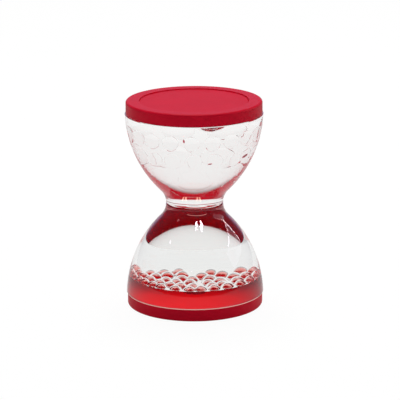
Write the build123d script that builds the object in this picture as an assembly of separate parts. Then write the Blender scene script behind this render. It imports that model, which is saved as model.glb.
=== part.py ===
from build123d import *
import math
import os

# Liquid motion timer, standing on its bottom cap, millimetres, +Z up, origin at the centre of the base.
# Two clear bells meet neck to neck and hold a clear and a red liquid that don't mix. A clear plate in the
# neck carries two nozzles: one lets clear drops rise, the other lets red drops fall. Each bell's wide mouth
# is closed by a red cap, filled through a plugged hole that a thin red disc hides.

# Overall sizes
height = 84.0
neck_r = 11.5
widest_r = 27.7
neck_round = 8.0
bell_round = 46.0
cup_wall = 2.2

# Fits: a glued seat, the film between a liquid and its wall, and how far a cut runs past what it cuts
glue_gap = 0.05
film_gap = 0.05
overrun = 1.0

# Caps
cap_height = 5.0
cap_r = 27.3
cap_edge_round = 0.9
rim_wall = 0.9
rim_height = 2.4
lip_chamfer = 0.25

# Cover disc in the outer face of each cap
cover_r = 21.8
cover_thick = 1.2
cover_sink = 0.35
cover_edge = 0.2

# Filling hole and its plug
fill_r = 3.0
plug_head_r = 5.0
plug_head_thick = 1.2
plug_lead = 0.4

# Nozzle plate in the neck
plate_thick = 3.5
seam_chamfer = 0.35
nozzle_spacing = 7.0
nozzle_turn = 11.5
riser_r = 2.2
riser_tip_r = 1.95
riser_bore_r = 1.3
riser_height = 4.5
dropper_r = 3.3
dropper_tip_r = 3.05
dropper_bore_r = 1.8
dropper_height = 4.3
gate_width = 1.6
gate_height = 0.9
gate_depth = 0.5
gate_turn = 23.0

# Red pool, and the raft of red drops that floats on its front half
pool_top = 10.1
raft_top = 13.3
raft_back = 2.5
drop_r = 2.4
drop_dome_height = 1.3
drop_base_height = 0.35
drop_gap = 0.3
raft_size_share = 0.05

# Clear drops, red flecks and the air bubble in the upper bell
clear_drop_r = 3.0
clear_ring_counts = (17, 15, 12)
clear_ring_turns = (-3.0, 23.0, 30.0)
clear_ring_height_shares = (0.78, 0.56, 0.36)
clear_ring_r_shares = (1.0, 0.97, 0.9)
fleck_r = 0.6
fleck_rings = (0, 1, 1, 1)
fleck_turn_shares = (-0.3, 1.51, -0.29, 1.97)
fleck_lift_shares = (0.46, 0.11, -0.29, -1.13)
bubble_r = 5.2
bubble_depth = 3.0
bubble_gap = 0.8
bubble_turn = 26.0

# Worked out from the sizes above
half = height / 2
mouth = half - cap_height
neck_centre = (neck_r + neck_round, 0)
bell_centre_r = widest_r - bell_round
bell_rise = math.sqrt((bell_round + neck_round) ** 2 - (neck_centre[0] - bell_centre_r) ** 2)
seam_rise = glue_gap / 2


def radius_at(rise, inset):
    """Radius of the bell's wall at a rise above the neck plane, that far inside the outer surface."""
    reach = (neck_round + inset) / (neck_round + bell_round)
    turn_rise = bell_rise * reach
    if rise <= turn_rise:
        return neck_centre[0] - math.sqrt((neck_round + inset) ** 2 - rise**2)
    return bell_centre_r + math.sqrt((bell_round - inset) ** 2 - (rise - bell_rise) ** 2)


def bell_curve(inset, low, high):
    """The bell's outline between two rises: the neck's hollow arc, then the bell's full arc."""
    turn_rise = bell_rise * (neck_round + inset) / (neck_round + bell_round)
    stops = [low] + [turn_rise] * (low < turn_rise < high) + [high]
    arcs = []
    for start, end in zip(stops, stops[1:]):
        points = [(radius_at(rise, inset), rise) for rise in (start, (start + end) / 2, end)]
        arcs.append(ThreePointArc(*points))
    return arcs


def turned(outline):
    """A solid of revolution about Z from an outline drawn as (radius, height)."""
    return revolve(Plane.XZ * make_face(outline), Axis.Z)


def above(solid):
    return Pos(0, 0, half) * solid


def below(solid):
    return Pos(0, 0, half) * mirror(solid, about=Plane.XY)


def round_bar(radius, low, high):
    return Pos(0, 0, low) * Cylinder(radius, high - low, align=(Align.CENTER, Align.CENTER, Align.MIN))


mouth_in_r = radius_at(mouth, cup_wall)
mouth_out_r = radius_at(mouth, 0)
rim_out_r = mouth_in_r + rim_wall
plate_seat_r = radius_at(plate_thick, cup_wall)
plate_r = plate_seat_r - glue_gap


def bell(socket_rise):
    """One clear bell on the neck plane, its thin rim standing up inside the shoulder that the cap meets."""
    outer = bell_curve(0, seam_rise + seam_chamfer, mouth - lip_chamfer)
    inner = bell_curve(cup_wall, socket_rise, mouth)
    out_low = outer[0] @ 0
    out_high = outer[-1] @ 1
    in_low = inner[0] @ 0
    in_high = inner[-1] @ 1
    rim = Polyline(
        out_high,
        (out_high.X - lip_chamfer, mouth),
        (rim_out_r, mouth),
        (rim_out_r, mouth + rim_height),
        (mouth_in_r, mouth + rim_height),
        in_high,
    )
    socket = [in_low] * (socket_rise > seam_rise)
    foot = Polyline(*socket, (in_low.X, seam_rise), (out_low.X - seam_chamfer, seam_rise), out_low)
    return turned(outer + [rim] + inner + [foot])


def make_upper_cup():
    cup = bell(plate_thick)
    gate = Box(gate_width, gate_depth + overrun, gate_height, align=(Align.CENTER, Align.MAX, Align.MIN))
    gate = Rot(0, 0, gate_turn) * Pos(0, gate_depth - neck_r, 0) * gate
    return above(cup - gate)


def make_lower_cup():
    return below(bell(seam_rise))


def nozzle(outer_r, tip_r, bore_r, reach):
    """A short tube, slightly drawn in towards its tip, as solid and as bore."""
    tube = Polyline((0, 0), (outer_r, 0), (tip_r, reach), (0, reach), close=True)
    return turned(tube), round_bar(bore_r, -plate_thick - overrun, reach + overrun)


def nozzle_places():
    """The riser stands behind the middle, the dropper hangs in front of it."""
    across = nozzle_spacing / 2
    turn = Rot(0, 0, nozzle_turn)
    return turn * Pos(0, across, plate_thick), turn * Pos(0, -across, 0)


def make_nozzle_plate():
    riser_place, dropper_place = nozzle_places()
    riser, riser_bore = nozzle(riser_r, riser_tip_r, riser_bore_r, riser_height)
    dropper, dropper_bore = nozzle(dropper_r, dropper_tip_r, dropper_bore_r, dropper_height)
    dropper = mirror(dropper, about=Plane.XY)
    dropper_bore = mirror(dropper_bore, about=Plane.XY)
    plate = round_bar(plate_r, glue_gap, plate_thick)
    stub = round_bar(dropper_r, 0, plate_thick)
    plate = plate + riser_place * riser + dropper_place * dropper + dropper_place * stub
    return above(plate - riser_place * riser_bore - dropper_place * dropper_bore)


def make_cap():
    """The bottom cap: outer face at Z 0, rim groove and chamber floor on top."""
    recess = cover_sink + cover_thick
    shelf = recess + plug_head_thick
    groove_in = mouth_in_r - glue_gap
    groove_out = rim_out_r + glue_gap
    groove_floor = cap_height - rim_height - glue_gap
    corner = CenterArc((cap_r - cap_edge_round, cap_edge_round), cap_edge_round, -90, 90)
    wall = Polyline(
        corner @ 1,
        (cap_r, cap_height - glue_gap),
        (groove_out, cap_height - glue_gap),
        (groove_out, groove_floor),
        (groove_in, groove_floor),
        (groove_in, cap_height),
        (fill_r + glue_gap, cap_height),
        (fill_r + glue_gap, shelf),
        (plug_head_r + glue_gap, shelf),
        (plug_head_r + glue_gap, recess),
        (cover_r + glue_gap, recess),
        (cover_r + glue_gap, cover_edge),
        (cover_r + glue_gap + cover_edge, 0),
        corner @ 0,
    )
    return turned([corner, wall])


def make_cover_disc():
    outline = Polyline(
        (0, cover_sink),
        (cover_r - cover_edge, cover_sink),
        (cover_r, cover_sink + cover_edge),
        (cover_r, cover_sink + cover_thick - glue_gap),
        (0, cover_sink + cover_thick - glue_gap),
        close=True,
    )
    return turned(outline)


def make_fill_plug():
    low = cover_sink + cover_thick
    outline = Polyline(
        (0, low),
        (plug_head_r, low),
        (plug_head_r, low + plug_head_thick - glue_gap),
        (fill_r, low + plug_head_thick - glue_gap),
        (fill_r, cap_height - plug_lead),
        (fill_r - plug_lead, cap_height),
        (0, cap_height),
        close=True,
    )
    return turned(outline)


def to_top(solid):
    return Pos(0, 0, height) * mirror(solid, about=Plane.XY)


def fill(low, high):
    """Liquid that fills the bell between two rises, a film's gap inside the wall."""
    side = bell_curve(cup_wall + film_gap, low, high)
    ends = Polyline(side[-1] @ 1, (0, high), (0, low), side[0] @ 0)
    return turned(side + [ends])


def dome_arc(radius, low, rise):
    """Half of a shallow dome from its edge to its crown, upside down when the rise is negative."""
    ball_r = (radius**2 + rise**2) / (2 * rise)
    middle = radius / 2
    sag = ball_r * (1 - math.sqrt(1 - (middle / ball_r) ** 2))
    return ThreePointArc((radius, low), (middle, low + rise - sag), (0, low + rise))


drop_base = pool_top + drop_gap
drop_shoulder = raft_top - drop_dome_height
raft_wall_r = radius_at(half - raft_top, cup_wall)


def make_drop(size):
    """A drop squeezed by its neighbours: a high dome, a short upright edge and a shallow underside."""
    radius = drop_r * size
    crown = dome_arc(radius, drop_shoulder, drop_dome_height * size)
    keel = dome_arc(radius, drop_base + drop_base_height, -drop_base_height)
    edge = Polyline(keel @ 0, crown @ 0)
    middle = Polyline(crown @ 1, keel @ 1)
    return turned([crown, edge, keel, middle])


def make_drop_room():
    """The hollow that a drop takes up in the clear liquid, open towards the pool."""
    radius = drop_r + film_gap
    crown = dome_arc(radius, drop_shoulder, drop_dome_height + film_gap)
    low = pool_top - overrun
    return turned([crown, Polyline(crown @ 1, (0, low), (radius, low), crown @ 0)])


def ring_places(ring_r, count, lift, phase):
    step = 360 / count
    return [Rot(0, 0, phase + step * number) * Pos(0, -ring_r, lift) for number in range(count)]


def raft_places():
    """Rings of drops from the wall inwards, each as full as its length allows, up to the raft's back edge."""
    places = []
    pitch = 2 * drop_r + drop_gap
    ring_r = raft_wall_r - drop_r - drop_gap
    while ring_r > drop_r:
        count = int(2 * math.pi * ring_r / pitch)
        ring = ring_places(ring_r, count, 0, 180 / count)
        places += [place for place in ring if place.position.Y < raft_back]
        ring_r -= pitch
    return places


def make_red_drops():
    drops = []
    for number, place in enumerate(raft_places()):
        size = 1 - raft_size_share * (1 + math.sin(number * math.pi / math.sqrt(2)))
        drops.append(place * make_drop(size))
    return drops


def clear_ring(ring):
    """Rise and radius of one ring of clear drops in the upper bell, and the turn from drop to drop."""
    rise = plate_thick + (mouth - plate_thick) * clear_ring_height_shares[ring]
    ring_r = (radius_at(rise, cup_wall) - clear_drop_r - drop_gap) * clear_ring_r_shares[ring]
    return rise, ring_r, 360 / clear_ring_counts[ring]


def clear_places():
    places = []
    for ring, (count, turn) in enumerate(zip(clear_ring_counts, clear_ring_turns)):
        rise, ring_r, _ = clear_ring(ring)
        places += ring_places(ring_r, count, half + rise, turn)
    return places


def fleck_places():
    """Each fleck lies against the wall, beside or below the clear drops of a ring."""
    places = []
    for ring, turn_share, lift_share in zip(fleck_rings, fleck_turn_shares, fleck_lift_shares):
        rise, _, step = clear_ring(ring)
        rise += lift_share * clear_drop_r
        wall_r = radius_at(rise, cup_wall) - fleck_r - drop_gap
        turn = clear_ring_turns[ring] + step * turn_share
        places.append(Rot(0, 0, turn) * Pos(0, -wall_r, half + rise))
    return places


def make_bubble():
    """The air bubble's room under the top cap, a shallow cup of a sphere."""
    ball_r = (bubble_r**2 + bubble_depth**2) / (2 * bubble_depth)
    ring_r = mouth_in_r - bubble_r - bubble_gap
    ball = Rot(0, 0, bubble_turn) * Pos(0, -ring_r, half + mouth - bubble_depth + ball_r) * Sphere(ball_r)
    return ball


def make_upper_liquid():
    liquid = above(fill(plate_thick + film_gap, mouth - film_gap))
    riser_place, _ = nozzle_places()
    room = round_bar(riser_r + film_gap, -overrun, riser_height + film_gap)
    rooms = [above(riser_place * room), make_bubble()]
    rooms += [place * Sphere(clear_drop_r + film_gap) for place in clear_places()]
    rooms += [place * Sphere(fleck_r + film_gap) for place in fleck_places()]
    return liquid - rooms


def make_lower_liquid():
    liquid = below(fill(film_gap, half - pool_top - film_gap))
    _, dropper_place = nozzle_places()
    room = round_bar(dropper_r + film_gap, -dropper_height - film_gap, overrun)
    drop_room = make_drop_room()
    return liquid - [above(dropper_place * room)] - [place * drop_room for place in raft_places()]


def make_red_pool():
    return below(fill(half - pool_top, mouth - film_gap))


def main():
    os.makedirs("parts", exist_ok=True)
    cap = make_cap()
    disc = make_cover_disc()
    plug = make_fill_plug()
    pieces = {
        "upper_cup": make_upper_cup(),
        "lower_cup": make_lower_cup(),
        "nozzle_plate": make_nozzle_plate(),
        "top_cap": to_top(cap),
        "bottom_cap": cap,
        "top_cover_disc": to_top(disc),
        "bottom_cover_disc": disc,
        "top_fill_plug": to_top(plug),
        "bottom_fill_plug": plug,
        "upper_clear_liquid": make_upper_liquid(),
        "lower_clear_liquid": make_lower_liquid(),
        "red_pool": make_red_pool(),
        "red_drops": Compound(children=make_red_drops()),
        "clear_drops": Compound(children=[place * Sphere(clear_drop_r) for place in clear_places()]),
        "red_flecks": Compound(children=[place * Sphere(fleck_r) for place in fleck_places()]),
    }
    for name, solid in pieces.items():
        export_step(solid, f"parts/{name}.step")


main()
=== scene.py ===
import math
import random

import bmesh
import bpy
from mathutils import Matrix, Quaternion, Vector, kdtree, noise


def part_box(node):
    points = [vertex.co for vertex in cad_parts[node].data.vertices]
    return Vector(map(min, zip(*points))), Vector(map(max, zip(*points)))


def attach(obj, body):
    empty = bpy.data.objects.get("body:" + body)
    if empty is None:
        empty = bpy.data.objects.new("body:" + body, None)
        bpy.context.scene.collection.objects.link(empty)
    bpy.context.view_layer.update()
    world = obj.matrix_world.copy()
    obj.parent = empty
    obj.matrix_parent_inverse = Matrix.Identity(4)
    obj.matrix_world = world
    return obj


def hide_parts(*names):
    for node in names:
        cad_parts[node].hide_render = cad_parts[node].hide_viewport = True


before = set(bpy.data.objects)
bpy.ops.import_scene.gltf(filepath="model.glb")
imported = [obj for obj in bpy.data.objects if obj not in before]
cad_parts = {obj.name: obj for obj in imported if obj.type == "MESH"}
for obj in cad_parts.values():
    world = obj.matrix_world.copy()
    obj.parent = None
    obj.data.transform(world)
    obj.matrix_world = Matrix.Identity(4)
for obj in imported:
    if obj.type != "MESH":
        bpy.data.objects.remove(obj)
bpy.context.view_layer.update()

# Sizes of the real timer, in metres, as its source has them
MM = 0.001
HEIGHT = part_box("top_cap")[1].z
HALF = HEIGHT / 2
CAP_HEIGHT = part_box("bottom_cap")[1].z
MOUTH = HALF - CAP_HEIGHT
NECK_R = 11.5 * MM
WIDEST_R = 27.7 * MM
NECK_ROUND = 8.0 * MM
BELL_ROUND = 46.0 * MM
CUP_WALL = 2.2 * MM
RIM_WALL = 0.9 * MM
RIM_HEIGHT = 2.4 * MM
LIP_CHAMFER = 0.25 * MM
LIP_FROST = 0.16 * MM
SEAM_CHAMFER = 0.35 * MM
SEAM_RISE = 0.025 * MM
PLATE_THICK = 3.5 * MM
NOZZLE_SPACING = 7.0 * MM
NOZZLE_TURN = 11.5
RIM_BAND = 0.3 * MM
FILM = 0.03 * MM
DROP_GAP = 0.12 * MM

# How strongly each boundary bends light: the index on its one side over the index on its other side. Only
# one of the two pieces at a boundary bends it. The values are set so that the bands fall as in the photograph.
SAME_ON_BOTH = 1.0
PLASTIC_IN_AIR = 1.505
PLASTIC_ON_LIQUID = 1.03
NOZZLE_ON_LIQUID = 1.14
DROPPER_ON_LIQUID = 1.01
CLEAR_ON_RED = 1.14
CLEAR_ON_DROPS = 1.22
CLEAR_ON_CLEAR = 1.03
LOW_CLEAR_ON_CLEAR = 1.004
LIQUID_ON_AIR = 1.46
BEADS_ON_CLEAR = 1.02

# Both kinds of random draw start from this, so that each run gives the same timer
SEED = 7

TURN_STEPS = 160
ARC_STEPS = 28
MERGE = 0.002 * MM
NODE_MERGE = 0.001 * MM

NECK_CENTRE_R = NECK_R + NECK_ROUND
BELL_CENTRE_R = WIDEST_R - BELL_ROUND
BELL_RISE = math.sqrt((BELL_ROUND + NECK_ROUND) ** 2 - (NECK_CENTRE_R - BELL_CENTRE_R) ** 2)


def radius_at(rise, inset):
    """Radius of the bell's wall at a rise above the neck plane, that far inside the outer surface."""
    turn_rise = BELL_RISE * (NECK_ROUND + inset) / (NECK_ROUND + BELL_ROUND)
    if rise <= turn_rise:
        return NECK_CENTRE_R - math.sqrt((NECK_ROUND + inset) ** 2 - rise**2)
    return BELL_CENTRE_R + math.sqrt((BELL_ROUND - inset) ** 2 - (rise - BELL_RISE) ** 2)


def bell_line(inset, low, high, steps=ARC_STEPS):
    """Points (radius, rise) up the bell's wall, a third of them below the place where its curve turns."""
    turn_rise = BELL_RISE * (NECK_ROUND + inset) / (NECK_ROUND + BELL_ROUND)
    stops = [low] + [turn_rise] * (low < turn_rise < high) + [high]
    counts = [steps // 3, steps - steps // 3] if len(stops) == 3 else [steps]
    rises = [low]
    for start, end, count in zip(stops, stops[1:], counts):
        rises += [start + (end - start) * (step + 1) / count for step in range(count)]
    return [(radius_at(rise, inset), rise) for rise in rises]


# Mesh helpers


def new_piece(name, bm, materials, smooth_angle=40):
    """Makes the object. Its hard edges are those over the angle, or with no angle the marked ones."""
    mesh = bpy.data.meshes.new(name)
    bm.to_mesh(mesh)
    bm.free()
    for material in materials:
        mesh.materials.append(material)
    mesh.polygons.foreach_set("use_smooth", [True] * len(mesh.polygons))
    if smooth_angle:
        mesh.set_sharp_from_angle(angle=math.radians(smooth_angle))
    piece = bpy.data.objects.new(name, mesh)
    bpy.context.scene.collection.objects.link(piece)
    return piece


def lathe(bm, line, slot=0, steps=TURN_STEPS):
    """Spins a line of (radius, height) points a quarter turn about Z and doubles the quarter twice."""
    old = {*bm.verts, *bm.edges, *bm.faces}
    verts = [bm.verts.new((radius, 0, height)) for radius, height in line]
    edges = [bm.edges.new(pair) for pair in zip(verts, verts[1:])]
    quarter = math.pi / 2
    bmesh.ops.spin(bm, geom=verts + edges, cent=(0, 0, 0), axis=(0, 0, 1), angle=quarter, steps=steps // 4)
    for turn in (quarter, 2 * quarter):
        made = [part for part in (*bm.verts, *bm.edges, *bm.faces) if part not in old]
        twin = bmesh.ops.duplicate(bm, geom=made)["geom"]
        twin_verts = [part for part in twin if isinstance(part, bmesh.types.BMVert)]
        bmesh.ops.rotate(bm, cent=(0, 0, 0), matrix=Matrix.Rotation(turn, 3, "Z"), verts=twin_verts)
    for face in bm.faces:
        if face not in old:
            face.material_index = slot


def close_up(bm, inward=False):
    """Merges the lines that meet and turns every face outwards, or inwards for a hollow."""
    bmesh.ops.remove_doubles(bm, verts=bm.verts, dist=MERGE)
    bmesh.ops.dissolve_degenerate(bm, edges=bm.edges, dist=MERGE)
    bmesh.ops.recalc_face_normals(bm, faces=bm.faces)
    if inward:
        bmesh.ops.reverse_faces(bm, faces=bm.faces)


def flip_down(bm):
    """Turns a shape built on the neck plane over, so that it hangs below it."""
    bmesh.ops.scale(bm, vec=(1, 1, -1), verts=bm.verts)
    bmesh.ops.recalc_face_normals(bm, faces=bm.faces)


def lift(bm, height):
    bmesh.ops.translate(bm, vec=(0, 0, height), verts=bm.verts)


def add_shell(bm, other):
    """Adds a finished mesh to another one, its normals as they are."""
    scratch = bpy.data.meshes.new("scratch")
    other.to_mesh(scratch)
    other.free()
    bm.from_mesh(scratch)
    bpy.data.meshes.remove(scratch)


# Colours and finishes
WHITE = (1, 1, 1, 1)
BLACK = (0, 0, 0, 1)
CAP_COLOUR = (0.66, 0.001, 0.022)
CAP_DARKEST, CAP_LIGHTEST = 0.97, 1.02
# Painted shade: the chamber floor under the pool turns to this darker red away from its painted glow
CAP_PAINTED_SHADE = (0.44, 0.004, 0.2)
CAP_ROUGHNESS, DISC_ROUGHNESS, ROUGHNESS_DRIFT = 0.45, 0.5, 0.05
CAP_INDEX, CAP_SHEEN = 1.5, 0.08
CAP_CLOUD = {"Scale": 90, "Detail": 3, "Low": 0.35, "High": 0.65}
CAP_GRAIN = {"Scale": 2600, "Detail": 2, "Strength": 0.12, "Depth": 0.02 * MM}
COOL_SHEEN = (0.92, 0.8, 1.0, 1)
WAVES = {"Scale": 120, "Detail": 1.5, "Depth": MM}
CUP_WAVES, RED_WAVES = 0.03, 0.3
FROST_ROUGHNESS, FROST_SHEEN, FROST_DARKEST = 0.6, 0.3, 0.85
FROST_CLOUD = {"Scale": 150, "Detail": 2, "Low": 0, "High": 1}
# Ground rims of the nozzle plate and the frosted lip of the lower bell: each has a colour, and a painted glow
# that brightens the edge
RIM_COLOUR, RIM_PAINTED_GLOW = (0.75, 0.42, 0.4), (0.16, 0.07, 0.07)
LIP_COLOUR, LIP_PAINTED_GLOW = (0.95, 0.7, 0.62), (0.32, 0.15, 0.13)
# Painted edge light: a pale glow on the riser's walls where they are seen edge-on, and the facing shares over
# which it grows
RISER_PAINTED_EDGE_LIGHT = (0.75, 0.58, 0.42)
EDGE_LIGHT_FROM, EDGE_LIGHT_TO = 0.4, 0.75

# What each red liquid lets through, and how densely it is dyed
POOL_DYE, POOL_DENSITY = (0.99, 0.10, 0.14), 900
DROP_DYE, DROP_DENSITY = (0.955, 0.58, 0.54), 600
BEAD_DYE, BEAD_DENSITY = (0.7, 0.03, 0.12), 5000

# A glow that stands in for light gathered in the timer: on the chamber floor, strongest round a place near the
# front, and on the ceiling over the clear drops
FLOOR_GLOW = (0.6, 0.012, 0.016)
GLOW_PLACE = (-3 * MM, -16 * MM, 5 * MM)
GLOW_SHAPE = (0.8, 1, 1)
GLOW_NEAR, GLOW_FAR, GLOW_LEAST = 7 * MM, 31 * MM, 0.02
CEILING_GLOW = (0.19, 0.003, 0.004)
CEILING_R = 24 * MM


# Shader helpers


def give(tree, node, inputs):
    """Sets a node's inputs to values, or links them to other nodes' outputs."""
    for entry, value in inputs.items():
        if isinstance(value, bpy.types.NodeSocket):
            tree.links.new(value, node.inputs[entry])
        else:
            node.inputs[entry].default_value = value


def put(tree, kind, inputs, output=0, **settings):
    """Adds a node with its settings and inputs, and gives back one of its outputs."""
    node = tree.nodes.new("ShaderNode" + kind)
    for name, value in settings.items():
        setattr(node, name, value)
    give(tree, node, inputs)
    return node.outputs[output]


def maths(tree, operation, first, second):
    return put(tree, "Math", {0: first, 1: second}, operation=operation)


def blend(tree, factor, first, second, kind="MIX"):
    """A mix of two colours."""
    inputs = {"Factor": factor, "A": first, "B": second}
    return put(tree, "Mix", inputs, "Result", data_type="RGBA", blend_type=kind)


def make_group(name, values, outputs):
    """A node group with its named values and outputs, and the two nodes at its ends."""
    group = bpy.data.node_groups.new(name, "ShaderNodeTree")
    for entry, value in values.items():
        made = group.interface.new_socket(name=entry, in_out="INPUT", socket_type="NodeSocketFloat")
        made.default_value = value
    for exit_name, kind in outputs.items():
        group.interface.new_socket(name=exit_name, in_out="OUTPUT", socket_type=kind)
    return group, group.nodes.new("NodeGroupInput").outputs, group.nodes.new("NodeGroupOutput")


def make_ripple_group():
    """Waves or grain left by moulding: a normal that leans a little, and a mask that is high on them."""
    outputs = {"Normal": "NodeSocketVector", "Mask": "NodeSocketFloat"}
    group, given, out = make_group("moulding_ripple", {**WAVES, "Strength": CUP_WAVES}, outputs)
    place = put(group, "TexCoord", {}, "Object")
    waves = {"Vector": place, "Scale": given["Scale"], "Detail": given["Detail"]}
    high = put(group, "TexNoise", waves, "Fac")
    lean = put(group, "Bump", {"Height": high, "Strength": given["Strength"], "Distance": given["Depth"]})
    give(group, out, {"Normal": lean, "Mask": high})
    return group


def make_cloud_group():
    """An uneven tone: a mask that drifts between none and all over the surface."""
    group, given, out = make_group("uneven_tone", CAP_CLOUD, {"Mask": "NodeSocketFloat"})
    place = put(group, "TexCoord", {}, "Object")
    drift = {"Vector": place, "Scale": given["Scale"], "Detail": given["Detail"]}
    cloud = put(group, "TexNoise", drift, "Fac")
    mask = put(group, "MapRange", {"Value": cloud, "From Min": given["Low"], "From Max": given["High"]})
    give(group, out, {"Mask": mask})
    return group


def blank_material(name):
    material = bpy.data.materials.new(name)
    material.use_nodes = True
    tree = material.node_tree
    tree.nodes.clear()
    out = tree.nodes.new("ShaderNodeOutputMaterial")
    shader = tree.nodes.new("ShaderNodeBsdfPrincipled")
    tree.links.new(shader.outputs["BSDF"], out.inputs["Surface"])
    return material, tree, shader, out


def clear_material(name, index, waves=0, dye=None, density=0, painted_edge_light=None):
    """A clear boundary between two media, with waves, a dye in its depth or a painted pale light along its
    edges if asked.
    """
    material, tree, shader, out = blank_material(name)
    give(tree, shader, {"Base Color": WHITE, "Transmission Weight": 1, "Roughness": 0, "IOR": index})
    if waves:
        lean = put(tree, "Group", {**WAVES, "Strength": waves}, "Normal", node_tree=RIPPLE)
        give(tree, shader, {"Normal": lean})
    if dye:
        depth = put(tree, "VolumeAbsorption", {"Color": (*dye, 1), "Density": density})
        give(tree, out, {"Volume": depth})
    if painted_edge_light:
        # Painted light: a pale glow that grows where the surface is seen edge-on
        facing = put(tree, "LayerWeight", {}, "Facing")
        ends = {"Value": facing, "From Min": EDGE_LIGHT_FROM, "From Max": EDGE_LIGHT_TO}
        share = put(tree, "MapRange", ends, interpolation_type="SMOOTHSTEP")
        shine = blend(tree, share, BLACK, (*painted_edge_light, 1))
        give(tree, shader, {"Emission Color": shine, "Emission Strength": 1})
    return material


def red_plastic_material(name, roughness, floor_glow=None, ceiling_glow=None):
    """Moulded red plastic: a faint cloud in its colour, a fine satin grain in its roughness and normal."""
    material, tree, shader, _ = blank_material(name)
    cloud = put(tree, "Group", CAP_CLOUD, "Mask", node_tree=CLOUD)
    dark = [channel * CAP_DARKEST for channel in CAP_COLOUR]
    light = [channel * CAP_LIGHTEST for channel in CAP_COLOUR]
    tone = blend(tree, cloud, (*dark, 1), (*light, 1))
    grain = put(tree, "Group", CAP_GRAIN, "Mask", node_tree=RIPPLE)
    ends = {"Value": grain, "To Min": roughness - ROUGHNESS_DRIFT, "To Max": roughness + ROUGHNESS_DRIFT}
    rough = put(tree, "MapRange", ends)
    give(tree, shader, {"Base Color": tone, "Roughness": rough, "Normal": grain.node.outputs["Normal"]})
    give(tree, shader, {"IOR": CAP_INDEX, "Specular IOR Level": CAP_SHEEN})
    if floor_glow:
        add_floor_glow(tree, shader, tone, floor_glow)
    if ceiling_glow:
        add_ceiling_glow(tree, shader, ceiling_glow)
    return material


def frosted_material(name, colour, glow):
    """A ground plastic edge that scatters light, its tone a little uneven, with a painted glow that brightens
    it. From inside it is clear.
    """
    material, tree, shader, _ = blank_material(name)
    cloud = put(tree, "Group", FROST_CLOUD, "Mask", node_tree=CLOUD)
    dark = [channel * FROST_DARKEST for channel in colour]
    tone = blend(tree, cloud, (*dark, 1), (*colour, 1))
    inside = put(tree, "NewGeometry", {}, "Backfacing")
    cover = maths(tree, "SUBTRACT", 1, inside)
    give(tree, shader, {"Base Color": tone, "Alpha": cover, "Roughness": FROST_ROUGHNESS})
    give(tree, shader, {"Specular IOR Level": FROST_SHEEN})
    # Painted glow: brightens the edge beyond what the lamps give it
    give(tree, shader, {"Emission Color": (*glow, 1), "Emission Strength": 1})
    return material


def add_floor_glow(tree, shader, tone, colour):
    """The chamber floor under the pool gets a painted glow round a place near the front, and painted shade in
    a darker red beyond it.
    """
    place = put(tree, "TexCoord", {}, "Object")
    height = put(tree, "SeparateXYZ", {0: place}, "Z")
    above = maths(tree, "GREATER_THAN", height, CAP_HEIGHT - FILM)
    shaped = put(tree, "VectorMath", {0: place, 1: GLOW_SHAPE}, operation="MULTIPLY")
    reach = put(tree, "VectorMath", {0: shaped, 1: GLOW_PLACE}, "Value", operation="DISTANCE")
    ends = {"Value": reach, "From Min": GLOW_NEAR, "From Max": GLOW_FAR, "To Min": 1, "To Max": GLOW_LEAST}
    near = put(tree, "MapRange", ends, interpolation_type="SMOOTHSTEP")
    glowing = maths(tree, "MULTIPLY", above, near)
    shaded = maths(tree, "SUBTRACT", above, glowing)
    shine = blend(tree, glowing, BLACK, (*colour, 1))
    # Painted shade: away from the glow the floor's colour turns to the darker red
    painted_shade_tone = blend(tree, shaded, tone, (*CAP_PAINTED_SHADE, 1))
    give(tree, shader, {"Emission Color": shine, "Emission Strength": 1, "Base Color": painted_shade_tone})


def add_ceiling_glow(tree, shader, colour):
    """The ceiling of the upper chamber gets a painted glow, even out to a radius."""
    place = put(tree, "TexCoord", {}, "Object")
    height = put(tree, "SeparateXYZ", {0: place}, "Z")
    under = maths(tree, "LESS_THAN", height, HALF + MOUTH + FILM)
    level = put(tree, "VectorMath", {0: place, 1: (1, 1, 0)}, operation="MULTIPLY")
    reach = put(tree, "VectorMath", {0: level}, "Value", operation="LENGTH")
    within = maths(tree, "LESS_THAN", reach, CEILING_R)
    share = maths(tree, "MULTIPLY", under, within)
    shine = blend(tree, share, BLACK, (*colour, 1))
    give(tree, shader, {"Emission Color": shine, "Emission Strength": 1})


RIPPLE = make_ripple_group()
CLOUD = make_cloud_group()
cup_outside = clear_material("cup_outside", PLASTIC_IN_AIR, CUP_WAVES)
cup_outside.node_tree.nodes["Principled BSDF"].inputs["Specular Tint"].default_value = COOL_SHEEN
cup_inside = clear_material("cup_inside", PLASTIC_ON_LIQUID, CUP_WAVES)
cup_glued = clear_material("cup_glued", SAME_ON_BOTH)
nozzle_clear = clear_material("nozzle_clear", NOZZLE_ON_LIQUID)
riser_clear = clear_material("riser_clear", NOZZLE_ON_LIQUID, painted_edge_light=RISER_PAINTED_EDGE_LIGHT)
dropper_clear = clear_material("dropper_clear", DROPPER_ON_LIQUID)
nozzle_rim = frosted_material("nozzle_rim", RIM_COLOUR, RIM_PAINTED_GLOW)
lip_frosted = frosted_material("lip_frosted", LIP_COLOUR, LIP_PAINTED_GLOW)
liquid_edge = clear_material("liquid_edge", SAME_ON_BOTH)
liquid_on_air = clear_material("liquid_on_air", LIQUID_ON_AIR)
liquid_on_red = clear_material("liquid_on_red", CLEAR_ON_RED, RED_WAVES)
liquid_on_drops = clear_material("liquid_on_drops", CLEAR_ON_DROPS)
liquid_on_clear = clear_material("liquid_on_clear", CLEAR_ON_CLEAR)
liquid_on_low_clear = clear_material("liquid_on_low_clear", LOW_CLEAR_ON_CLEAR)
red_liquid = clear_material("red_liquid", SAME_ON_BOTH, dye=POOL_DYE, density=POOL_DENSITY)
red_drop_liquid = clear_material("red_drop_liquid", SAME_ON_BOTH, dye=DROP_DYE, density=DROP_DENSITY)
red_bead_liquid = clear_material("red_bead_liquid", BEADS_ON_CLEAR, dye=BEAD_DYE, density=BEAD_DENSITY)
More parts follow.
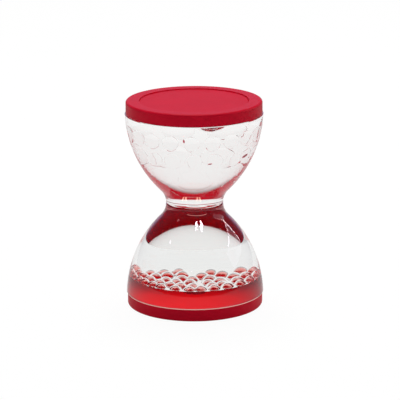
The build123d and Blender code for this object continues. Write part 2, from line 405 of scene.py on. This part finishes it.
cap_over_drops = red_plastic_material("cap_over_drops", CAP_ROUGHNESS, ceiling_glow=CEILING_GLOW)
disc_red = red_plastic_material("disc_red", DISC_ROUGHNESS)
cap_under_pool = red_plastic_material("cap_under_pool", CAP_ROUGHNESS, floor_glow=FLOOR_GLOW)


# Pieces

# A face whose normal leans more than this share towards upright counts as level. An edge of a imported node's
# copy is hard past the angle.
LEVEL_SHARE = 0.5
NODE_HARD_ANGLE = 25


def make_cup(socket_rise):
    """One bell on the neck plane. Slots: outer faces, faces on liquid, glued faces, frosted lip."""
    bm = bmesh.new()
    outer = bell_line(0, SEAM_RISE + SEAM_CHAMFER, MOUTH - LIP_CHAMFER - LIP_FROST, 2 * ARC_STEPS)
    inner = bell_line(CUP_WALL, socket_rise, MOUTH, 2 * ARC_STEPS)
    mouth_in = inner[-1][0]
    lip_r = radius_at(MOUTH - LIP_CHAMFER, 0)
    lip = [outer[-1], (lip_r, MOUTH - LIP_CHAMFER), (lip_r - LIP_CHAMFER, MOUTH)]
    shoulder = [
        lip[-1],
        (mouth_in + RIM_WALL, MOUTH),
        (mouth_in + RIM_WALL, MOUTH + RIM_HEIGHT),
        (mouth_in, MOUTH + RIM_HEIGHT),
        inner[-1],
    ]
    foot_r = outer[0][0] - SEAM_CHAMFER
    lathe(bm, outer, 0)
    lathe(bm, lip, 3)
    lathe(bm, shoulder, 0)
    lathe(bm, inner, 1)
    lathe(bm, [outer[0], (foot_r, SEAM_RISE)], 0)
    foot = [(foot_r, SEAM_RISE), (inner[0][0], SEAM_RISE)]
    if socket_rise > SEAM_RISE:
        foot.append(inner[0])
    lathe(bm, foot, 2)
    close_up(bm)
    return bm


def make_cups():
    upper = make_cup(PLATE_THICK)
    lift(upper, HALF)
    lower = make_cup(SEAM_RISE)
    flip_down(lower)
    lift(lower, HALF)
    slots = [cup_outside, cup_inside, cup_glued]
    dress(new_piece("upper_bell", upper, slots + [cup_outside]), "upper_cup")
    dress(new_piece("lower_bell", lower, slots + [lip_frosted]), "lower_cup")


def dress(piece, node):
    """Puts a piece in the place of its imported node."""
    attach(piece, "root")
    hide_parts(node)


def node_mesh(node):
    """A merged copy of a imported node's mesh."""
    bm = bmesh.new()
    bm.from_mesh(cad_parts[node].data)
    bmesh.ops.remove_doubles(bm, verts=bm.verts, dist=NODE_MERGE)
    return bm


def solid_copy(name, node, materials, pick, cuts):
    """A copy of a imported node's mesh, cut at some heights. Pick(centre, normal) gives each face's slot."""
    bm = node_mesh(node)
    for height in cuts:
        parts = [*bm.verts, *bm.edges, *bm.faces]
        bmesh.ops.bisect_plane(bm, geom=parts, dist=NODE_MERGE, plane_co=(0, 0, height), plane_no=(0, 0, 1))
    for face in bm.faces:
        face.material_index = pick(face.calc_center_median(), face.normal)
    return new_piece(name, bm, materials, NODE_HARD_ANGLE)


def make_plate():
    """Slots: level faces up high, glued faces, the riser's walls, all else down low, ground rims."""
    low, high = (corner.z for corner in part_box("nozzle_plate"))
    rims = (low + RIM_BAND, high - RIM_BAND)
    turn = math.radians(NOZZLE_TURN)
    riser_place = Vector((-math.sin(turn), math.cos(turn), 0)) * NOZZLE_SPACING / 2

    def pick(centre, normal):
        if abs(normal.z) > LEVEL_SHARE:
            return 0 if centre.z > HALF else 3
        if HALF < centre.z < HALF + PLATE_THICK:
            return 1
        rising = centre.z > HALF
        place = riser_place if rising else -riser_place
        outwards = normal.xy.dot((centre - place).xy) > 0
        if outwards and not rims[0] < centre.z < rims[1]:
            return 4
        return 2 if rising else 3

    cuts = (HALF + 2 * SEAM_RISE, HALF + PLATE_THICK, *rims)
    slots = [nozzle_clear, cup_glued, riser_clear, dropper_clear, nozzle_rim]
    insert = solid_copy("nozzle_insert", "nozzle_plate", slots, pick, cuts)
    dress(insert, "nozzle_plate")


def fill(low, high):
    """A liquid that fills a bell between two rises over the neck plane, a film away from its wall."""
    bm = bmesh.new()
    side = bell_line(CUP_WALL + FILM, low, high, 2 * ARC_STEPS)
    lathe(bm, side)
    lathe(bm, [side[-1], (0, high)])
    lathe(bm, [side[0], (0, low)])
    close_up(bm)
    return bm


# Red pool, and the raft of red drops that floats side by side on its front half
POOL_TOP = 10.1 * MM
RAFT_TOP = 13.3 * MM
RAFT_FLOOR = 9.2 * MM
DROP_FOOT = 11.8 * MM
RAFT_BACK = 2.5 * MM
DROP_WIDTH = 5.1 * MM
DROP_BALL_R = 3.0 * MM
RING_STEP = 4.3 * MM
RAFT_STEPS = 480
RAFT_RINGS = 76
RAFT_NEAR_DROPS = 6

# How far the drops stray from even rings, as shares of their spacing, width and size, and by how much they
# sink. They crowd together towards the left and grow a little towards the right.
STRAY_TURN, STRAY_OUT, STRAY_SIZE = 0.18, 0.06, 0.1
CROWD_LEFT, GROW_RIGHT = 0.22, 0.12
MOST_SINK = 0.25 * MM


def raft_places():
    """Crown and ball radius of each drop on the pool's front half, ring by ring from the wall inwards."""
    random.seed(SEED)
    places = []
    ring_r = radius_at(HALF - RAFT_TOP, CUP_WALL) - DROP_WIDTH / 2
    while ring_r > DROP_WIDTH / 2:
        count = round(2 * math.pi * ring_r / DROP_WIDTH)
        turn = random.uniform(0, math.pi)
        for number in range(count):
            around = 2 * math.pi * (number + random.uniform(-STRAY_TURN, STRAY_TURN)) / count + turn
            around -= CROWD_LEFT * math.cos(around)
            out = ring_r + random.uniform(-STRAY_OUT, STRAY_OUT) * DROP_WIDTH
            place = Vector((out * math.sin(around), -out * math.cos(around), 0))
            ball_r = DROP_BALL_R * random.uniform(1 - STRAY_SIZE, 1 + STRAY_SIZE)
            ball_r *= 1 + GROW_RIGHT * math.sin(around)
            sink = random.uniform(0, 1) * MOST_SINK
            if place.y < RAFT_BACK + random.uniform(-1, 1) * DROP_WIDTH / 3:
                place.z = RAFT_TOP - sink
                places.append((place, ball_r))
        ring_r -= RING_STEP
    return places


def raft_skin(places):
    """A function for the height of the raft's top at a point: the highest drop's there, or the pool's."""
    tree = kdtree.KDTree(len(places))
    for index, (place, _) in enumerate(places):
        tree.insert((place.x, place.y, 0), index)
    tree.balance()

    def height(x, y):
        share = min(1, max(0, (RAFT_BACK + DROP_WIDTH - y) / DROP_WIDTH))
        rises = [POOL_TOP + (DROP_FOOT - POOL_TOP) * share]
        for _, index, gap in tree.find_n((x, y, 0), RAFT_NEAR_DROPS):
            place, ball_r = places[index]
            if gap < ball_r:
                rises.append(place.z - ball_r + math.sqrt(ball_r**2 - gap**2))
        return max(rises)

    return height


def wall_r(height):
    """Radius of the liquid in the lower bell at a height over the floor."""
    return radius_at(HALF - height, CUP_WALL + FILM)


def press_raft(bm, skin, base, sink):
    """Lifts the fine disc at the base height to the raft's skin, its rim along the wall."""
    for vert in bm.verts:
        if abs(vert.co.z - base) < FILM / 10:
            height = skin(vert.co.x, vert.co.y) - sink
            spread = wall_r(height) / wall_r(base)
            vert.co = Vector((vert.co.x * spread, vert.co.y * spread, height))


def raft_disc(base):
    """Points (radius, height) of a flat disc at the base height, in fine rings from the wall inwards."""
    return [(wall_r(base) * (RAFT_RINGS - ring) / RAFT_RINGS, base) for ring in range(RAFT_RINGS + 1)]


def make_red_raft(skin):
    base = RAFT_FLOOR + 2 * FILM
    bm = bmesh.new()
    lathe(bm, [(0, RAFT_FLOOR), (wall_r(RAFT_FLOOR), RAFT_FLOOR)] + raft_disc(base), 0, RAFT_STEPS)
    close_up(bm)
    press_raft(bm, skin, base, FILM)
    piece = new_piece("red_raft", bm, [red_drop_liquid], None)
    dress(piece, "red_drops")


def make_lower_liquid(skin):
    """Slots: faces along the wall and neck, faces on the bare pool, faces on the drops."""
    base = POOL_TOP - 2 * FILM
    side = [(r, HALF - rise) for r, rise in bell_line(CUP_WALL + FILM, FILM, HALF - RAFT_TOP - DROP_GAP)]
    bm = bmesh.new()
    lathe(bm, [(0, side[0][1])] + side + [(wall_r(base), base)], 0, RAFT_STEPS)
    lathe(bm, raft_disc(base), 1, RAFT_STEPS)
    close_up(bm)
    press_raft(bm, skin, base, 0)
    for face in bm.faces:
        if face.material_index and face.calc_center_median().z > POOL_TOP + 2 * FILM:
            face.material_index = 2
    for edge in bm.edges:
        edge.smooth = len({face.material_index > 0 for face in edge.link_faces}) == 1
    piece = new_piece("lower_oil", bm, [liquid_edge, liquid_on_red, liquid_on_drops], None)
    dress(piece, "lower_clear_liquid")


def make_red_pool():
    pool = fill(HALF - RAFT_FLOOR + FILM, MOUTH - FILM)
    flip_down(pool)
    lift(pool, HALF)
    piece = new_piece("red_pool_liquid", pool, [red_liquid])
    dress(piece, "red_pool")


# Upper bell: clear drops, flecks and the air bubble
BUBBLE_R, BUBBLE_DEPTH, BUBBLE_GAP, BUBBLE_TURN = 6.9 * MM, 3.4 * MM, 0.7 * MM, 19.0
BUBBLE_STEPS = 96
CLEAR_DENT, DENT_SPACING = 0.35 * MM, 2.2 * MM
LOW_RING_TOP = HALF + 19.5 * MM


def bubble_pocket():
    """The hollow that the air bubble takes up under the top cap, its faces towards the air."""
    ball_r = (BUBBLE_R**2 + BUBBLE_DEPTH**2) / (2 * BUBBLE_DEPTH)
    half_angle = math.asin(BUBBLE_R / ball_r)
    bowl = []
    for step in range(ARC_STEPS + 1):
        angle = half_angle * step / ARC_STEPS
        bowl.append((ball_r * math.sin(angle), ball_r * (1 - math.cos(angle)) - BUBBLE_DEPTH))
    bm = bmesh.new()
    lathe(bm, bowl, 1, BUBBLE_STEPS)
    lathe(bm, [bowl[-1], (0, 0)], 0, BUBBLE_STEPS)
    close_up(bm, inward=True)
    turn = math.radians(BUBBLE_TURN)
    out = radius_at(MOUTH, CUP_WALL) - BUBBLE_R - BUBBLE_GAP
    place = Vector((out * math.sin(turn), -out * math.cos(turn), HALF + MOUTH - 2 * FILM))
    bmesh.ops.translate(bm, vec=place, verts=bm.verts)
    return bm


def make_upper_liquid():
    """Slots: faces along the bell and over the bubble, faces on its air."""
    bm = fill(PLATE_THICK + FILM, MOUTH - FILM)
    lift(bm, HALF)
    add_shell(bm, bubble_pocket())
    piece = new_piece("upper_oil", bm, [liquid_edge, liquid_on_air])
    dress(piece, "upper_clear_liquid")


def islands(bm):
    """The vertices of each loose shell of a mesh, always in the same order."""
    seen = set()
    for first in bm.verts:
        if first in seen:
            continue
        seen.add(first)
        shell = [first]
        for vert in shell:
            for edge in vert.link_edges:
                other = edge.other_vert(vert)
                if other not in seen:
                    seen.add(other)
                    shell.append(other)
        yield shell


def make_clear_drops():
    """The clear drops lean on each other, so each is dented a little. Slots: higher ones, the low ring."""
    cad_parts["clear_drops"].data.materials.clear()
    bm = node_mesh("clear_drops")
    noise.seed_set(SEED)
    for vert in bm.verts:
        vert.co += noise.noise_vector(vert.co / DENT_SPACING) * CLEAR_DENT
    for face in bm.faces:
        face.material_index = face.calc_center_median().z < LOW_RING_TOP
    bm.normal_update()
    piece = new_piece("clear_raft", bm, [liquid_on_clear, liquid_on_low_clear], None)
    dress(piece, "clear_drops")


# Width and height of each fleck as shares of its ball, and its tilt in degrees, from the left
FLECK_SHAPES = ((0.6, 1.25, -8), (1.5, 0.45, -4), (3.2, 0.9, -14), (0.6, 0.25, -14))
FLECK_DEPTH_SHARE = 0.6


def make_flecks():
    """The red beads are flattened and tilted where they lie between clear drops."""
    bm = node_mesh("red_flecks")
    flecks = []
    for shell in islands(bm):
        centre = sum((vert.co for vert in shell), Vector()) / len(shell)
        flecks.append((math.atan2(centre.x, -centre.y), centre, shell))
    flecks.sort(key=lambda fleck: fleck[0])
    for (around, centre, shell), (wide, high, tilt) in zip(flecks, FLECK_SHAPES):
        turn = Matrix.Rotation(around, 3, "Z") @ Matrix.Rotation(math.radians(tilt), 3, "Y")
        shape = turn @ Matrix.Diagonal((wide, FLECK_DEPTH_SHARE, high)) @ turn.inverted()
        for vert in shell:
            vert.co = centre + shape @ (vert.co - centre)
    bm.normal_update()
    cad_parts["red_flecks"].data.materials.clear()
    dress(new_piece("red_beads", bm, [red_bead_liquid], None), "red_flecks")


def dress_caps():
    """The caps, discs and plugs stay as packed and only get their plastic."""
    for node, material in (
        ("top_cap", cap_over_drops),
        ("bottom_cap", cap_under_pool),
        ("top_cover_disc", disc_red),
        ("bottom_cover_disc", disc_red),
        ("top_fill_plug", disc_red),
        ("bottom_fill_plug", disc_red),
    ):
        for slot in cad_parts[node].material_slots:
            slot.material = material


make_cups()
make_plate()
raft = raft_skin(raft_places())
make_red_raft(raft)
make_lower_liquid(raft)
make_red_pool()
make_upper_liquid()
make_clear_drops()
make_flecks()
dress_caps()


# Stage, light and camera


# The middle of the timer, and the place on the front of its lower bell, under the neck, that shines
CENTRE = Vector((0, 0, HALF))
SHINE = Vector((1.6 * MM, -14.5 * MM, 35.7 * MM))

FLOOR_R = 4.0
FLOOR_STEPS = 64
FLOOR_DROP = 0.02 * MM
FLOOR_GREY = (0.86, 0.86, 0.86, 1)
FLOOR_WHITE, FLOOR_OWN_LIGHT = 1.02, 0.93

# How bright the floor is where it is seen through the timer, near it and far off, and in its reflections
SEEN_THROUGH, FAR_FLOOR = 0.88, 0.96
NEAR_REACH, FAR_REACH = 0.12, 0.5
FLOOR_SHINE = 0.75

# How bright the room is, by height, where it is seen through the timer and where it lights it
OVERHEAD = ((0.04, SEEN_THROUGH), (0.22, 0.88), (0.5, 0.87), (0.7, 0.25))
ROOM = ((0.15, 0.5), (0.7, 0.22))

# In reflections the room is tinted, dim in front and bright straight behind the timer
ROOM_SHINE_TINT = (0.95, 0.88, 1.3, 1)
BEHIND_FROM, BEHIND_TO = 0.8, 0.98
FRONT_SHINE, BEHIND_SHINE = 0.28, 1.6


def ray_kinds(tree):
    """Whether a ray comes straight from the camera, was mirrored, or was bent by something clear."""
    path = tree.nodes.new("ShaderNodeLightPath").outputs
    return [path[f"Is {kind} Ray"] for kind in ("Camera", "Glossy", "Transmission")]


def make_floor():
    """A white floor. It lights itself where it is seen, and keeps the timer's soft shadow."""
    bm = bmesh.new()
    bmesh.ops.create_circle(bm, cap_ends=True, segments=FLOOR_STEPS, radius=FLOOR_R)
    lift(bm, -FLOOR_DROP)
    material = bpy.data.materials.new("floor_white")
    material.use_nodes = True
    tree = material.node_tree
    tree.nodes.clear()
    out = tree.nodes.new("ShaderNodeOutputMaterial")
    straight, mirrored, bent = ray_kinds(tree)
    place = put(tree, "TexCoord", {}, "Object")
    reach = put(tree, "VectorMath", {0: place}, "Value", operation="LENGTH")
    ends = {"From Min": NEAR_REACH, "From Max": FAR_REACH, "To Min": SEEN_THROUGH, "To Max": FAR_FLOOR}
    far = put(tree, "MapRange", {"Value": reach, **ends})
    # Bent rays count as mirrored too, so they are taken off to leave those that were only mirrored
    only_mirrored = maths(tree, "SUBTRACT", mirrored, bent)
    beyond = put(tree, "MapRange", {"Value": only_mirrored, "To Min": far, "To Max": FLOOR_SHINE})
    level = put(tree, "MapRange", {"Value": straight, "To Min": beyond, "To Max": FLOOR_WHITE})
    seen = maths(tree, "MAXIMUM", maths(tree, "MAXIMUM", straight, mirrored), bent)
    share = maths(tree, "MULTIPLY", seen, FLOOR_OWN_LIGHT)
    matt = put(tree, "BsdfDiffuse", {"Color": FLOOR_GREY})
    glow = put(tree, "Emission", {"Color": WHITE, "Strength": level})
    give(tree, out, {"Surface": put(tree, "MixShader", {0: share, 1: matt, 2: glow})})
    floor = new_piece("floor", bm, [material])


def shades(tree, height, stops):
    """Greys by height, each stop a height and a grey."""
    grey = put(tree, "ValToRGB", {"Fac": height}, "Color")
    row = grey.node.color_ramp.elements
    row.remove(row[1])
    row[0].position = stops[0][0]
    for place, _ in stops[1:]:
        row.new(place)
    for stop, (_, shade) in zip(row, stops):
        stop.color = (shade, shade, shade, 1)
    return grey


def make_world():
    """A white background, and a room that lights the timer and shows in its reflections."""
    world = bpy.data.worlds.new("studio")
    bpy.context.scene.world = world
    world.use_nodes = True
    tree = world.node_tree
    tree.nodes.clear()
    out = tree.nodes.new("ShaderNodeOutputWorld")
    straight, mirrored, bent = ray_kinds(tree)
    way = put(tree, "TexCoord", {}, "Generated")
    height = put(tree, "SeparateXYZ", {0: way}, "Z")
    over = shades(tree, height, OVERHEAD)
    level = put(tree, "MapRange", {"Value": straight, "To Min": over, "To Max": 1})
    white = put(tree, "Background", {"Color": WHITE, "Strength": level})
    tinted = blend(tree, mirrored, shades(tree, height, ROOM), ROOM_SHINE_TINT, "MULTIPLY")
    behind = {"Value": height.node.outputs["Y"], "From Min": BEHIND_FROM, "From Max": BEHIND_TO}
    ends = {"To Min": FRONT_SHINE, "To Max": BEHIND_SHINE}
    shine = put(tree, "MapRange", {**behind, **ends}, interpolation_type="SMOOTHSTEP")
    strength = put(tree, "MapRange", {"Value": mirrored, "To Min": 1, "To Max": shine})
    room = put(tree, "Background", {"Color": tinted, "Strength": strength})
    seen = maths(tree, "MAXIMUM", straight, bent)
    give(tree, out, {"Surface": put(tree, "MixShader", {0: seen, 1: room, 2: white})})


def softbox(name, turn, rise, distance, size, radiance, shine_only=True, twist=None, aim=CENTRE):
    """A lamp at a turn and rise in degrees round the timer's middle, facing its aim. A twist makes it oval."""
    lamp = bpy.data.lights.new(name, "AREA")
    lamp.shape = "RECTANGLE" if twist is None else "ELLIPSE"
    lamp.size, lamp.size_y = size
    lamp.energy = radiance * math.pi * lamp.size * lamp.size_y
    box = bpy.data.objects.new(name, lamp)
    a, e = math.radians(turn), math.radians(rise)
    back = Vector((math.sin(a) * math.cos(e), -math.cos(a) * math.cos(e), math.sin(e)))
    box.location = CENTRE + back * distance
    facing = (box.location - aim).to_track_quat("Z", "Y")
    box.rotation_mode = "QUATERNION"
    box.rotation_quaternion = facing @ Quaternion((0, 0, 1), math.radians(twist or 0))
    box.visible_diffuse = not shine_only
    box.visible_volume_scatter = not shine_only
    box.visible_transmission = False
    box.visible_camera = False
    bpy.context.scene.collection.objects.link(box)


make_floor()
make_world()

# The lamp overhead and the one at the right light the timer. The others only show as its highlights. The
# last three are oval: two close to the neck, for the double highlight, and one far off at the left.
softbox("top_softbox", turn=180, rise=75, distance=1.2, size=(0.6, 0.6), radiance=9, shine_only=False)
softbox("right_softbox", turn=102, rise=24, distance=1, size=(0.9, 0.3), radiance=0.8, shine_only=False)
softbox("right_softbox_top_edge", turn=107, rise=32.5, distance=1, size=(0.62, 0.024), radiance=8)
softbox("right_softbox_far_edge", turn=126, rise=24, distance=1, size=(0.034, 0.30), radiance=10)
NEAR_LAMPS = {"radiance": 30, "aim": SHINE}
softbox("shine_left", 5.3, 22, 19.6 * MM, (2.1 * MM, 6.2 * MM), twist=-3, **NEAR_LAMPS)
softbox("shine_right", 18.5, 20.8, 20.9 * MM, (2.1 * MM, 7.2 * MM), twist=-47, **NEAR_LAMPS)
softbox("left_glint", turn=-72, rise=42.2, distance=1, size=(0.11, 0.05), radiance=5, twist=0)

# Camera at the photograph's place
CAMERA_DISTANCE = 0.96
CAMERA_ELEVATION = 14.83
CAMERA_ROLL = 0.33
PIXELS_PER_METRE = 2485
FRAME_PIXELS = 400
TARGET_PIXEL = (194.58, 201.86)
SENSOR_WIDTH = 36
CLIP_NEAR, CLIP_FAR = 0.05, 20
MOST_BOUNCES, SHINE_BOUNCES = 64, 16


def make_camera():
    """Puts the timer's middle on its pixel of the photograph, from the photograph's side and height."""
    data = bpy.data.cameras.new("camera")
    camera = bpy.data.objects.new("camera", data)
    bpy.context.scene.collection.objects.link(camera)
    bpy.context.scene.camera = camera
    data.sensor_width = SENSOR_WIDTH
    data.lens = PIXELS_PER_METRE * CAMERA_DISTANCE / FRAME_PIXELS * SENSOR_WIDTH
    data.clip_start, data.clip_end = CLIP_NEAR, CLIP_FAR
    e, roll = math.radians(CAMERA_ELEVATION), math.radians(CAMERA_ROLL)
    back = Vector((0, -math.cos(e), math.sin(e)))
    right = Vector((1, 0, 0))
    up = Vector((0, math.sin(e), math.cos(e)))
    across = right * math.cos(roll) - up * math.sin(roll)
    over = right * math.sin(roll) + up * math.cos(roll)
    eye = CENTRE + back * CAMERA_DISTANCE
    aside = (FRAME_PIXELS / 2 - TARGET_PIXEL[0]) / PIXELS_PER_METRE
    above = (TARGET_PIXEL[1] - FRAME_PIXELS / 2) / PIXELS_PER_METRE
    aim = CENTRE + across * aside + over * above
    look = (eye - aim).normalized()
    side = over.cross(look).normalized()
    top = look.cross(side)
    camera.rotation_mode = "QUATERNION"
    camera.rotation_quaternion = Matrix((side, top, look)).transposed().to_quaternion()
    camera.location = eye


make_camera()

scene = bpy.context.scene
scene.view_settings.view_transform = "Standard"
scene.cycles.max_bounces = MOST_BOUNCES
scene.cycles.transmission_bounces = MOST_BOUNCES
scene.cycles.transparent_max_bounces = MOST_BOUNCES
scene.cycles.glossy_bounces = SHINE_BOUNCES
